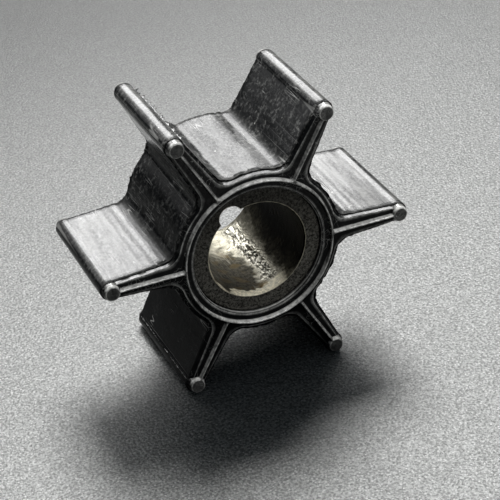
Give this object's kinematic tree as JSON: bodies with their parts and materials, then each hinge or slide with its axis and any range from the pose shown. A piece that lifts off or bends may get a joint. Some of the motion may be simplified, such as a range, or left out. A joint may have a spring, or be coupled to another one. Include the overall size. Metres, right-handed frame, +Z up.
{
  "type": "rubber pump impeller",
  "caption": "Flexible-vane rubber pump impeller with stepped, ridged ends and beaded vane tips, moulded round a metal bush with a pin slot in its bore.",
  "frame": {"origin": "centre of the shaft bore at mid-length", "axes": "+Y along the shaft axis, from the end that faces the viewer to the far one; +Z up as it lies on two vane tips"},
  "size_m": [0.0474, 0.022, 0.0414],
  "materials": {
    "rubber": "semi-gloss black moulded rubber, dusty and scratched",
    "bush": "worn and pitted, darkened at the ends"
  },
  "bodies": {
    "root": {"rubber_impeller": "rubber", "hub_bush": "bush"}
  },
  "joints": []
}
